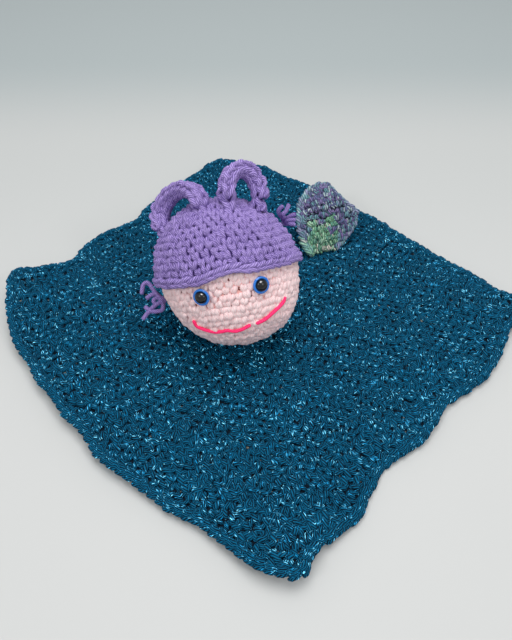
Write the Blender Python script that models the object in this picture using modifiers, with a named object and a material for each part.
"""A comfort blanket crocheted in thick yarn, with a stuffed bear head sewn to its middle.

The blanket lies flat on the table and its underside is at height 0. The head is a
ball that rests on the blanket with its face turned up and towards the front (-Y).
"""

import math

import bmesh
import bpy
from mathutils import Matrix, Vector

# Driving dimensions, in metres. Every other size is a share of one of these.
HEAD_RADIUS = 0.048
HALF_WIDTH = 0.1275
HALF_LENGTH = 0.155
CLOTH = 0.0045
YARN = 0.0027
GAP = 0.0003

# The cloth. Corners run clockwise from the left one, as shares of the half sizes.
CLOTH_TURN = math.radians(47.2)
CORNER_SHARES = ((-0.898, 0.96), (0.838, 0.901), (1.068, -1.001), (-1.044, -1.015))
BULGE_SHARES = (
    (-0.036, -0.077, -0.104, -0.052, -0.034, -0.042, -0.052, -0.057, -0.015, -0.004)
    + (0.011, 0.022, 0.034, 0.031, 0.042),
    (0.081, 0.144, 0.127, 0.138, 0.14, 0.14, 0.134, 0.14, 0.119, 0.08, 0.074, 0.056)
    + (0.048, 0.012, -0.026),
    (0.031, 0.031, 0.063, 0.085, 0.088, 0.055, 0.02, 0.034, 0.044, 0.004, -0.019, 0.001)
    + (0.033, 0.01, -0.015),
    (0.099, 0.128, 0.155, 0.207, 0.24, 0.273, 0.305, 0.286, 0.298, 0.287, 0.284, 0.257)
    + (0.248, 0.197, 0.118),
)
# How far each stretch of the rim is lifted off the table, as a share of the most.
LIFT_SHARES = (
    (1.0, 0.84, 0.58, 0.29, 0.08, 0.19, 0.33, 0.21, 0.08, 0.15, 0.25, 0.22, 0.17, 0.19, 0.25, 0.36),
    (0.42, 0.3, 0.17, 0.24, 0.33, 0.31, 0.25, 0.15, 0.08, 0.16, 0.25, 0.17, 0.08, 0.14, 0.25, 0.4),
    (0.5, 0.44, 0.33, 0.24, 0.17, 0.1, 0.08, 0.17, 0.25, 0.18, 0.08, 0.01, 0.0, 0.09, 0.25, 0.54),
    (0.75, 0.63, 0.42, 0.3, 0.25, 0.32, 0.42, 0.47, 0.5, 0.55, 0.58, 0.53, 0.5, 0.6, 0.75, 0.92),
)
MOST_LIFT = 0.094 * HALF_WIDTH
REST_CUT = 0.11 * CLOTH
EDGING_RADIUS = 0.53 * CLOTH
CLOTH_INSET = 2 * EDGING_RADIUS + GAP
KNOTS_PER_SIDE = 16
CLOTH_CELLS = (22, 24)

# The head, whose crown leans back and to the left.
HEAD_CENTRE = Vector((-0.119 * HALF_WIDTH, -0.164 * HALF_WIDTH, CLOTH + GAP + HEAD_RADIUS))
HEAD_PITCH = math.radians(-42)
HEAD_LEAN = math.radians(-12.6)
HEAD_TURN = math.radians(1.5)
COVER_WALL = 0.067 * HEAD_RADIUS
SEGMENTS = 32
CROWN_OPENING = math.radians(83)
STUFFING_RADIUS = HEAD_RADIUS - COVER_WALL - 0.015 * HEAD_RADIUS
SEAM_RADIUS = 0.31 * HEAD_RADIUS
THREAD_RADIUS = YARN / 3

# The cap and its brim. Brim latitudes run eastwards from the back of the head.
CAP_RADIUS = HEAD_RADIUS * 1.0095
CAP_WALL = 0.056 * HEAD_RADIUS
CAP_OUTSIDE = CAP_RADIUS + CAP_WALL
BRIM_RADIUS = 0.046 * HEAD_RADIUS
BRIM_CENTRE = HEAD_RADIUS + GAP + BRIM_RADIUS
BRIM_LATITUDES = (3.0, 3.5, 4.0, 4.6, 5.0, 5.2, 4.2, 2.2, 5.8, 2.3, 1.2, 0.4, 0.8, 1.6, 2.2, 2.6)
BRIM_STEPS = 64
CAP_EDGE_ANGLE = math.degrees((BRIM_RADIUS + 2 * GAP) / BRIM_CENTRE)

# The eyes, on stems that pass through the cover and carry a washer inside.
EYE_LATITUDE = -9.7
EYE_LONGITUDE = 21.9
DOME_RADIUS = 0.075 * HEAD_RADIUS
DOME_RISE = 0.064 * HEAD_RADIUS
SHANK_RADIUS = 0.035 * HEAD_RADIUS
SHANK_END = 0.79 * HEAD_RADIUS
RING_INNER = DOME_RADIUS + 1.15 * GAP
RING_OUTER = 0.108 * HEAD_RADIUS
RING_RISE = 0.029 * HEAD_RADIUS
WASHER_RADIUS = 0.115 * HEAD_RADIUS
WASHER_THICKNESS = 0.021 * HEAD_RADIUS
WASHER_TOP = STUFFING_RADIUS - 1.4 * GAP
ROUND_STEPS = 24

# The smile, as points on the face in degrees of latitude and longitude.
SMILE_LEFT = (
    (-27.5, -41.9), (-33.1, -42.3), (-36.8, -37.3), (-41.0, -28.2), (-41.9, -20.2),
    (-41.9, -13.9), (-44.3, -6.8), (-43.8, 0.4), (-40.1, 9.9),
)
SMILE_RIGHT = (
    (-40.0, 16.7), (-39.4, 23.7), (-36.5, 30.6), (-33.0, 37.5), (-29.5, 43.7), (-25.6, 45.8),
)

# The ear loops. Each foot is a latitude and longitude on the cap.
FOOT_ROUND = 0.104 * HEAD_RADIUS
FOOT_FLAT = 0.056 * HEAD_RADIUS
FOOT_CENTRE = 1.175 * HEAD_RADIUS
STRAP_HALF_WIDTH = 0.13 * HEAD_RADIUS
STRAP_OUTER = 0.072 * HEAD_RADIUS
STRAP_INNER = 0.045 * HEAD_RADIUS
STRAP_CUP = 0.055 * HEAD_RADIUS
FOOT_PINCH = 0.38
STRAP_SIDES = 12
STRAP_STEPS = 18
LEFT_FEET = ((64, -24), (44, -86))
LEFT_LEAN = math.radians(42)
LEFT_RISE = 0.34 * HEAD_RADIUS
RIGHT_FEET = ((61, 18), (53, 68))
RIGHT_LEAN = math.radians(32)
RIGHT_RISE = 0.375 * HEAD_RADIUS

# The tassels, as routes in shares of the head radius, in the head's own directions.
KNOT_RADIUS = 0.06 * HEAD_RADIUS
LEFT_KNOT_SHARE = (-1.048, 0.091, -0.168)
LEFT_STRAND_SHARES = (
    (
        (-1.115, 0.104, -0.06), (-1.17, 0.125, 0.075), (-1.21, 0.13, 0.12),
        (-1.27, 0.125, 0.1), (-1.32, 0.11, -0.02),
    ),
    ((-1.104, 0.11, -0.075), (-1.18, 0.104, -0.06), (-1.273, 0.098, -0.1)),
    ((-1.104, 0.098, -0.12), (-1.17, 0.09, -0.14), (-1.16, 0.085, -0.2)),
    ((-1.098, 0.085, -0.192), (-1.223, 0.077, -0.248), (-1.392, 0.056, -0.377)),
    ((-1.08, 0.067, -0.3), (-1.233, 0.071, -0.292), (-1.315, 0.083, -0.198)),
)
RIGHT_KNOT_SHARE = (0.94, 0.342, 0.531)
RIGHT_STRAND_SHARES = (
    ((0.89, 0.24, 0.69), (0.97, 0.196, 0.763)),
    ((0.94, 0.19, 0.64), (0.985, 0.18, 0.67), (1.06, 0.196, 0.765)),
    ((0.98, 0.24, 0.56), (1.1, 0.17, 0.59)),
    ((0.98, 0.21, 0.53), (1.083, 0.16, 0.517)),
    ((1.0, 0.19, 0.48), (1.07, 0.154, 0.469)),
)
ROUTE_STEPS = 4

# The shell flap, in shares of its length. Rows run from the sewn edge to the tip.
FLAP_LENGTH = 0.44 * HALF_WIDTH
FLAP_X = 0.455 * HALF_WIDTH
FLAP_Y = 0.392 * HALF_WIDTH
FLAP_TURN = math.radians(20)
FLAP_TILT = math.radians(28)
FLAP_THICKNESS = 0.069 * FLAP_LENGTH
HEM_RADIUS = 0.55 * FLAP_THICKNESS
FLAP_DOME = 0.155 * FLAP_LENGTH
FLAP_DROP_LEFT = 0.086 * FLAP_LENGTH
FLAP_DROP_RIGHT = 0.052 * FLAP_LENGTH
FLAP_ROW_SHARES = (0.0, 0.1, 0.2, 0.3, 0.43, 0.6, 0.75, 0.88, 0.96, 1.0)
FLAP_LEFT_SHARES = (-0.241, -0.276, -0.29, -0.293, -0.284, -0.224, -0.13, 0.03, 0.18, 0.27)
FLAP_RIGHT_SHARES = (0.224, 0.4, 0.54, 0.62, 0.675, 0.65, 0.58, 0.52, 0.44, 0.34)
FLAP_CELLS = (12, 9)

# Colours of the yarns and plastics.
NAVY = (0.006, 0.055, 0.115)
PINK = (0.74, 0.56, 0.56)
WHITE = (0.85, 0.85, 0.83)
BLACK = (0.006, 0.006, 0.007)
BLUE = (0.04, 0.22, 0.58)
CLEAR = (0.7, 0.7, 0.7)
RED = (1.0, 0.045, 0.19)
LILAC = (0.28, 0.19, 0.47)
SHELL = (0.13, 0.16, 0.3)


def new_collection(name):
    """A collection of this name in the scene."""
    collection = bpy.data.collections.new(name)
    bpy.context.scene.collection.children.link(collection)
    return collection


def new_material(name, colour, roughness):
    """A plain material without metal."""
    material = bpy.data.materials.new(name)
    material.use_nodes = True
    shader = material.node_tree.nodes["Principled BSDF"]
    shader.inputs["Base Color"].default_value = (*colour, 1)
    shader.inputs["Roughness"].default_value = roughness
    shader.inputs["Metallic"].default_value = 0
    return material


def new_object(name, data, matrix, material, collection):
    """An object placed by a matrix, in one collection."""
    thing = bpy.data.objects.new(name, data)
    thing.matrix_world = matrix
    if material:
        data.materials.append(material)
    collection.objects.link(thing)
    return thing


def mesh_from(bm, name, smooth):
    """The mesh of a bmesh, which is freed."""
    mesh = bpy.data.meshes.new(name)
    for face in bm.faces:
        face.smooth = smooth
    bm.to_mesh(mesh)
    bm.free()
    return mesh


def spline_at(knots, position, closed):
    """A point of the smooth curve through the knots, at a position counted in knots."""
    count = len(knots)
    if not closed:
        position = min(max(position, 0), count - 1)
    index = math.floor(position)
    t = position - index
    if closed:
        a, b, c, d = (knots[(index + step) % count] for step in (-1, 0, 1, 2))
    else:
        a, b, c, d = (knots[min(max(index + step, 0), count - 1)] for step in (-1, 0, 1, 2))
    bend = (a * 2 - b * 5 + c * 4 - d) * t * t + (b * 3 - a - c * 3 + d) * t * t * t
    return b + ((c - a) * t + bend) * 0.5


def route_through(points, steps):
    """The smooth open route through points, with this many steps between them."""
    total = (len(points) - 1) * steps
    return [spline_at(points, step / steps, False) for step in range(total + 1)]


def rim_knots():
    """The rim's knots as width, length and lift, clockwise from the left corner."""
    knots = []
    corners = [Vector((u * HALF_WIDTH, v * HALF_LENGTH)) for u, v in CORNER_SHARES]
    for side, bulges in enumerate(BULGE_SHARES):
        start = corners[side]
        end = corners[(side + 1) % len(corners)]
        along = (end - start).normalized()
        outward = Vector((-along.y, along.x))
        for step, bulge in enumerate((0, *bulges)):
            spot = start.lerp(end, step / KNOTS_PER_SIDE) + outward * bulge * HALF_WIDTH
            knots.append(Vector((spot.x, spot.y, LIFT_SHARES[side][step] * MOST_LIFT)))
    return knots


RIM = rim_knots()


def rim_point(position, inset):
    """A point of the rim moved inwards, with its lift as the third number."""
    point = spline_at(RIM, position, True)
    reach = 1 / KNOTS_PER_SIDE
    ahead = spline_at(RIM, position + reach, True) - spline_at(RIM, position - reach, True)
    inward = Vector((ahead.y, -ahead.x, 0)).normalized()
    moved = point + inward * inset
    moved.z = max(point.z, 0)
    return moved


def on_table(point):
    """A point of the cloth's width and length directions turned to the table's."""
    return Matrix.Rotation(CLOTH_TURN, 4, "Z") @ point


def cloth_point(a, b):
    """A point of the cloth's underside from shares across and down it."""
    side = KNOTS_PER_SIDE
    top = rim_point(side * a, CLOTH_INSET)
    bottom = rim_point(side * (3 - a), CLOTH_INSET)
    left = rim_point(side * (4 - b), CLOTH_INSET)
    right = rim_point(side * (1 + b), CLOTH_INSET)
    corners = [rim_point(side * step, CLOTH_INSET) for step in range(4)]
    upper = corners[0].lerp(corners[1], a)
    lower = corners[3].lerp(corners[2], a)
    spot = top.lerp(bottom, b) + left.lerp(right, a) - upper.lerp(lower, b)
    s = 2 * a - 1
    t = 1 - 2 * b
    if s == 0 and t == 0:
        across = 0
    elif abs(s) >= abs(t):
        across = (1.5 if s > 0 else 3.5) - 0.5 * t / s
    else:
        across = (0.5 if t > 0 else 2.5) + 0.5 * s / t
    share = 1 - (1 - s * s) * (1 - t * t)
    lift = rim_point(side * across, 0).z * share ** 3
    spot.z = max(lift - REST_CUT, 0)
    return on_table(spot)


def solidify(thing, thickness, offset):
    """Gives a surface its thickness."""
    modifier = thing.modifiers.new("Thickness", "SOLIDIFY")
    modifier.thickness = thickness
    modifier.offset = offset


def build_blanket(material, collection):
    """The cloth: a grid drawn to the rim's outline and given its thickness."""
    bm = bmesh.new()
    bmesh.ops.create_grid(bm, x_segments=CLOTH_CELLS[0], y_segments=CLOTH_CELLS[1], size=1)
    for vertex in bm.verts:
        vertex.co = cloth_point((vertex.co.x + 1) / 2, (1 - vertex.co.y) / 2)
    cloth = new_object("blanket", mesh_from(bm, "blanket", True), Matrix(), material, collection)
    solidify(cloth, CLOTH, 1)


def new_tube(name, points, radius, cyclic, matrix, material, collection):
    """A round yarn along a route."""
    data = bpy.data.curves.new(name, "CURVE")
    data.dimensions = "3D"
    data.bevel_depth = radius
    data.bevel_resolution = 2
    data.use_fill_caps = not cyclic
    spline = data.splines.new("POLY")
    spline.points.add(len(points) - 1)
    for slot, point in zip(spline.points, points):
        slot.co = (*point, 1)
    spline.use_cyclic_u = cyclic
    spline.use_smooth = True
    return new_object(name, data, matrix, material, collection)


def build_edging(material, collection):
    """The ridge round the rim of the cloth."""
    points = []
    cells = (*CLOTH_CELLS, *CLOTH_CELLS)
    for side, count in enumerate(cells):
        for step in range(count):
            point = rim_point(KNOTS_PER_SIDE * (side + step / count), EDGING_RADIUS)
            point.z += EDGING_RADIUS + GAP
            points.append(on_table(point))
    new_tube("blanket_edging", points, EDGING_RADIUS, True, Matrix(), material, collection)


def head_frame():
    """The placing of the head: its centre, and its crown as the up direction."""
    pitch = Matrix.Rotation(HEAD_PITCH, 4, "X")
    lean = Matrix.Rotation(HEAD_LEAN, 4, "Y")
    turn = Matrix.Rotation(HEAD_TURN, 4, "Z")
    return Matrix.Translation(HEAD_CENTRE) @ pitch @ lean @ turn


HEAD = head_frame()


def on_head(latitude, longitude, radius):
    """A point of the head's own frame. Longitude 0 is the middle of the face."""
    lat = math.radians(latitude)
    lon = math.radians(longitude)
    flat = radius * math.cos(lat)
    return Vector((flat * math.sin(lon), -flat * math.cos(lon), radius * math.sin(lat)))


def longitude_of(point):
    """The longitude of a point of the head's own frame."""
    return math.degrees(math.atan2(point.x, -point.y))


def brim_latitude(longitude):
    """The latitude of the brim's middle at a longitude."""
    step = 360 / len(BRIM_LATITUDES)
    return spline_at(BRIM_LATITUDES, (longitude + 180) / step, True)


def new_ball(radius, rings):
    """A round ball as a bmesh."""
    bm = bmesh.new()
    bmesh.ops.create_uvsphere(bm, u_segments=SEGMENTS, v_segments=rings, radius=radius)
    return bm


def build_neck_seam(material, collection):
    """The ring of yarn that sews the head to the cloth, with its origin on the neck's axis."""
    points = []
    for step in range(ROUND_STEPS):
        angle = math.tau * step / ROUND_STEPS
        points.append(Vector((SEAM_RADIUS * math.cos(angle), SEAM_RADIUS * math.sin(angle), 0)))
    spot = Vector((HEAD_CENTRE.x, HEAD_CENTRE.y, CLOTH + GAP + THREAD_RADIUS))
    place = Matrix.Translation(spot)
    new_tube("neck_seam", points, THREAD_RADIUS, True, place, material, collection)


def cut(target, tool, operation):
    """Cuts or joins one mesh with another."""
    modifier = target.modifiers.new("Cut", "BOOLEAN")
    modifier.operation = operation
    modifier.solver = "EXACT"
    modifier.object = tool
    tool.hide_render = True
    tool.display_type = "WIRE"


def eye_frame(side):
    """The head's frame turned so that its up direction points out through one eye."""
    outward = on_head(EYE_LATITUDE, side * EYE_LONGITUDE, 1)
    return HEAD @ outward.to_track_quat("Z", "Y").to_matrix().to_4x4()


def new_bar(name, radius, low, high, matrix, cutters):
    """A round cutter between two heights."""
    bm = bmesh.new()
    place = Matrix.Translation((0, 0, (low + high) / 2))
    bmesh.ops.create_cone(
        bm, cap_ends=True, segments=ROUND_STEPS, radius1=radius, radius2=radius,
        depth=high - low, matrix=place,
    )
    return new_object(name, mesh_from(bm, name, False), matrix, None, cutters)


def build_cover(material, collection, cutters):
    """The face: an open ball with holes for the stems of the eyes."""
    bm = new_ball(HEAD_RADIUS, 16)
    crown = max(bm.verts, key=lambda vertex: vertex.co.z)
    ring = [edge.other_vert(crown) for edge in crown.link_edges]
    for vertex in ring:
        vertex.co = on_head(math.degrees(CROWN_OPENING), longitude_of(vertex.co), HEAD_RADIUS)
    bmesh.ops.delete(bm, geom=[crown], context="VERTS")
    cover = new_object("head_cover", mesh_from(bm, "head_cover", True), HEAD, material, collection)
    solidify(cover, COVER_WALL, -1)
    for name, side in (("left", -1), ("right", 1)):
        low = STUFFING_RADIUS - COVER_WALL
        high = HEAD_RADIUS + COVER_WALL
        hole = new_bar(f"{name}_cover_hole", SHANK_RADIUS + GAP, low, high, eye_frame(side), cutters)
        cut(cover, hole, "DIFFERENCE")


def build_stuffing(material, collection, cutters):
    """The filling, with room for the stems and washers of the eyes."""
    bm = new_ball(STUFFING_RADIUS, 12)
    mesh = mesh_from(bm, "head_stuffing", True)
    filling = new_object("head_stuffing", mesh, HEAD, material, collection)
    floor = WASHER_TOP - WASHER_THICKNESS - GAP
    for name, side in (("left", -1), ("right", 1)):
        place = eye_frame(side)
        stem = new_bar(
            f"{name}_stem_pocket", SHANK_RADIUS + GAP, SHANK_END - GAP, HEAD_RADIUS, place, cutters
        )
        cut(filling, stem, "DIFFERENCE")
        disc = new_bar(
            f"{name}_washer_pocket", WASHER_RADIUS + GAP, floor, HEAD_RADIUS, place, cutters
        )
        cut(filling, disc, "DIFFERENCE")


def new_spin(name, profile, closed, matrix, material, collection):
    """A round piece turned from a profile of radius and height pairs."""
    mesh = bpy.data.meshes.new(name)
    points = [(radius, 0, height) for radius, height in profile]
    edges = [(step, step + 1) for step in range(len(points) - 1)]
    if closed:
        edges.append((len(points) - 1, 0))
    mesh.from_pydata(points, edges, [])
    thing = new_object(name, mesh, matrix, material, collection)
    screw = thing.modifiers.new("Turn", "SCREW")
    screw.steps = ROUND_STEPS
    screw.render_steps = ROUND_STEPS
    screw.use_merge_vertices = True
    screw.merge_threshold = 0.00001
    screw.use_smooth_shade = True
    screw.use_normal_flip = True
    return thing


def build_eye(name, side, materials, collection):
    """One eye: the black dome on its stem, the blue ring round it and the washer inside."""
    place = eye_frame(side)
    seat = HEAD_RADIUS + 1.3 * GAP
    wall = seat + 0.3 * DOME_RISE
    dome = [(0, SHANK_END), (SHANK_RADIUS, SHANK_END), (SHANK_RADIUS, seat), (DOME_RADIUS, seat)]
    steps = 6
    for step in range(steps + 1):
        angle = math.pi / 2 * step / steps
        height = wall + (HEAD_RADIUS + DOME_RISE - wall) * math.sin(angle)
        dome.append((DOME_RADIUS * math.cos(angle) if step < steps else 0, height))
    new_spin(f"{name}_eye", dome, False, place, materials["eye"], collection)
    middle = (RING_INNER + RING_OUTER) / 2
    shoulder = 0.8 * RING_RISE
    ring = (
        (RING_INNER, seat), (RING_OUTER, seat), (RING_OUTER, seat + RING_RISE / 2),
        ((middle + 2 * RING_OUTER) / 3, seat + shoulder), (middle, seat + RING_RISE),
        ((middle + 2 * RING_INNER) / 3, seat + shoulder), (RING_INNER, seat + RING_RISE / 2),
    )
    new_spin(f"{name}_eye_ring", ring, True, place, materials["ring"], collection)
    bottom = WASHER_TOP - WASHER_THICKNESS
    bore = SHANK_RADIUS + GAP
    washer = (
        (bore, bottom), (WASHER_RADIUS, bottom), (WASHER_RADIUS, WASHER_TOP), (bore, WASHER_TOP),
    )
    new_spin(f"{name}_eye_washer", washer, True, place, materials["washer"], collection)


def build_smile(name, route, material, collection):
    """One run of the smile's yarn, laid on the face."""
    radius = HEAD_RADIUS + GAP + THREAD_RADIUS
    points = [on_head(latitude, longitude, radius) for latitude, longitude in route]
    new_tube(name, points, THREAD_RADIUS, False, HEAD, material, collection)


def build_cap(material, collection):
    """The cap: the upper part of a ball, down to just above the brim."""
    bm = new_ball(CAP_RADIUS, 16)
    low = [vertex for vertex in bm.verts if vertex.co.z < -CAP_WALL]
    bmesh.ops.delete(bm, geom=low, context="VERTS")
    for vertex in bm.verts:
        longitude = longitude_of(vertex.co)
        latitude = math.degrees(math.asin(min(max(vertex.co.z / CAP_RADIUS, 0), 1)))
        edge = brim_latitude(longitude) + CAP_EDGE_ANGLE
        vertex.co = on_head(edge + (90 - edge) * latitude / 90, longitude, CAP_RADIUS)
    cap = new_object("cap", mesh_from(bm, "cap", True), HEAD, material, collection)
    solidify(cap, CAP_WALL, 1)


def build_brim(material, collection):
    """The ridge along the edge of the cap."""
    points = []
    for step in range(BRIM_STEPS):
        longitude = 360 * step / BRIM_STEPS - 180
        points.append(on_head(brim_latitude(longitude), longitude, BRIM_CENTRE))
    new_tube("cap_brim", points, BRIM_RADIUS, True, HEAD, material, collection)


def new_loft(name, sections, matrix, material, collection):
    """A closed piece through a row of rings of points."""
    bm = bmesh.new()
    rings = [[bm.verts.new(point) for point in section] for section in sections]
    for first, second in zip(rings, rings[1:]):
        for index in range(len(first)):
            after = (index + 1) % len(first)
            bm.faces.new((first[index], first[after], second[after], second[index]))
    bm.faces.new(rings[0])
    bm.faces.new(rings[-1])
    bmesh.ops.recalc_face_normals(bm, faces=bm.faces)
    return new_object(name, mesh_from(bm, name, True), matrix, material, collection)


def strap_section(centre, outward, across, size):
    """A ring of points round the strap: rounded outside and hollow inside."""
    ring = []
    for side in range(STRAP_SIDES):
        angle = math.tau * side / STRAP_SIDES
        share = math.cos(angle)
        swell = math.sin(angle)
        height = swell * (STRAP_OUTER if swell > 0 else STRAP_INNER) - STRAP_CUP * share * share
        ring.append(centre + (across * share * STRAP_HALF_WIDTH + outward * height) * size)
    return ring


def build_loop(name, feet, lean, rise, material, collection, cutters):
    """One ear loop: an arched strap on two rounded feet, with its origin between the feet."""
    first, second = (on_head(latitude, longitude, FOOT_CENTRE) for latitude, longitude in feet)
    middle = (first + second) / 2
    along = (second - first).normalized()
    radial = middle.normalized()
    side = along.cross(radial)
    if side.y < 0:
        side = -side
    up = radial * math.cos(lean) + side * math.sin(lean)
    across = along.cross(up)
    half = (second - first).length / 2
    sections = []
    for step in range(STRAP_STEPS + 1):
        angle = math.pi * step / STRAP_STEPS
        centre = up * rise * math.sin(angle) - along * half * math.cos(angle)
        outward = (up * half * math.sin(angle) - along * rise * math.cos(angle)).normalized()
        size = 1 - FOOT_PINCH * (1 - min(1, 2.5 * math.sin(angle)))
        sections.append(strap_section(centre, outward, across, size))
    place = HEAD @ Matrix.Translation(middle)
    strap = new_loft(name, sections, place, material, collection)
    turn = along.to_track_quat("Z", "Y").to_matrix().to_4x4()
    for end, sign in (("near", -1), ("far", 1)):
        bm = bmesh.new()
        bmesh.ops.create_uvsphere(bm, u_segments=12, v_segments=8, radius=FOOT_ROUND)
        squash = Matrix.Diagonal((1, 1, FOOT_FLAT / FOOT_ROUND, 1))
        bmesh.ops.transform(
            bm, matrix=Matrix.Translation(along * half * sign) @ turn @ squash, verts=bm.verts
        )
        label = f"{name}_{end}_foot"
        foot = new_object(label, mesh_from(bm, label, True), place, None, cutters)
        cut(strap, foot, "UNION")


def as_mesh(thing, name, cutters):
    """A curve made into a closed mesh of its own, in the same place."""
    bpy.context.view_layer.update()
    graph = bpy.context.evaluated_depsgraph_get()
    mesh = bpy.data.meshes.new_from_object(thing.evaluated_get(graph))
    bm = bmesh.new()
    bm.from_mesh(mesh)
    bmesh.ops.remove_doubles(bm, verts=bm.verts, dist=0.00001)
    bm.to_mesh(mesh)
    bm.free()
    place = thing.matrix_world.copy()
    bpy.data.objects.remove(thing)
    return new_object(name, mesh, place, None, cutters)


def build_tassel(name, knot_share, strand_shares, material, collection, cutters):
    """One tassel: a knot with its yarn ends joined to it, and its origin in the knot."""
    knot = Vector(knot_share) * HEAD_RADIUS
    place = HEAD @ Matrix.Translation(knot)
    bm = bmesh.new()
    bmesh.ops.create_uvsphere(bm, u_segments=14, v_segments=10, radius=KNOT_RADIUS)
    tassel = new_object(name, mesh_from(bm, name, True), place, material, collection)
    for number, shares in enumerate(strand_shares):
        corners = [Vector((0, 0, 0)), *(Vector(share) * HEAD_RADIUS - knot for share in shares)]
        points = route_through(corners, ROUTE_STEPS)
        label = f"{name}_strand_{number}"
        strand = new_tube(label, points, YARN / 2, False, place, None, cutters)
        cut(tassel, as_mesh(strand, label, cutters), "UNION")


def table_at(shares, position):
    """A value between the entries of a table, at a position counted in entries."""
    return spline_at(shares, position, False)


def flap_point(x, y):
    """A point of the shell's middle surface, from shares across and along it."""
    position = (y + 1) / 2 * (len(FLAP_ROW_SHARES) - 1)
    share = table_at(FLAP_ROW_SHARES, position)
    left = table_at(FLAP_LEFT_SHARES, position)
    right = table_at(FLAP_RIGHT_SHARES, position)
    across = (left + (right - left) * (x + 1) / 2) * FLAP_LENGTH
    drop = FLAP_DROP_LEFT if x < 0 else FLAP_DROP_RIGHT
    settle = drop * x * x * min(1, 4 * share)
    height = FLAP_DOME * math.sin(math.pi * share) * (1 - 0.3 * x * x) - settle
    return Vector((across, share * FLAP_LENGTH, height))


def build_flap(material, collection, cutters):
    """The shell: a domed sheet rising from a rounded hem that is its hinge."""
    bm = bmesh.new()
    bmesh.ops.create_grid(bm, x_segments=FLAP_CELLS[0], y_segments=FLAP_CELLS[1], size=1)
    for vertex in bm.verts:
        vertex.co = flap_point(vertex.co.x, vertex.co.y)
    spot = Vector((FLAP_X, FLAP_Y, CLOTH + GAP + HEM_RADIUS))
    turn = Matrix.Rotation(FLAP_TURN, 4, "Z") @ Matrix.Rotation(FLAP_TILT, 4, "X")
    place = Matrix.Translation(spot) @ turn
    mesh = mesh_from(bm, "shell_flap", True)
    flap = new_object("shell_flap", mesh, place, material, collection)
    solidify(flap, FLAP_THICKNESS, 0)
    low = FLAP_LEFT_SHARES[0] * FLAP_LENGTH - HEM_RADIUS
    high = FLAP_RIGHT_SHARES[0] * FLAP_LENGTH + HEM_RADIUS
    lying = place @ Matrix.Rotation(math.pi / 2, 4, "Y")
    hem = new_bar("shell_hem", HEM_RADIUS, low, high, lying, cutters)
    cut(flap, hem, "UNION")


def build_lovey():
    """Every piece of the lovey, each with its material."""
    for thing in list(bpy.data.objects):
        bpy.data.objects.remove(thing)
    collection = new_collection("comfort_blanket")
    cutters = new_collection("cutters")
    cutters.hide_render = True
    cloth_yarn = new_material("cloth_yarn", NAVY, 0.75)
    face_yarn = new_material("face_yarn", PINK, 0.85)
    cap_yarn = new_material("cap_yarn", LILAC, 0.85)
    shell_yarn = new_material("shell_yarn", SHELL, 0.85)
    smile_yarn = new_material("smile_yarn", RED, 0.7)
    filling = new_material("filling", WHITE, 0.95)
    plastics = {
        "eye": new_material("eye_plastic", BLACK, 0.12),
        "ring": new_material("ring_plastic", BLUE, 0.3),
        "washer": new_material("washer_plastic", CLEAR, 0.4),
    }
    build_blanket(cloth_yarn, collection)
    build_edging(cloth_yarn, collection)
    build_neck_seam(face_yarn, collection)
    build_cover(face_yarn, collection, cutters)
    build_stuffing(filling, collection, cutters)
    build_eye("left", -1, plastics, collection)
    build_eye("right", 1, plastics, collection)
    build_smile("mouth_stitch_left", SMILE_LEFT, smile_yarn, collection)
    build_smile("mouth_stitch_right", SMILE_RIGHT, smile_yarn, collection)
    build_cap(cap_yarn, collection)
    build_brim(cap_yarn, collection)
    build_loop("left_loop", LEFT_FEET, LEFT_LEAN, LEFT_RISE, cap_yarn, collection, cutters)
    build_loop("right_loop", RIGHT_FEET, RIGHT_LEAN, RIGHT_RISE, cap_yarn, collection, cutters)
    build_tassel(
        "left_tassel", LEFT_KNOT_SHARE, LEFT_STRAND_SHARES, cap_yarn, collection, cutters
    )
    build_tassel(
        "right_tassel", RIGHT_KNOT_SHARE, RIGHT_STRAND_SHARES, cap_yarn, collection, cutters
    )
    build_flap(shell_yarn, collection, cutters)


build_lovey()
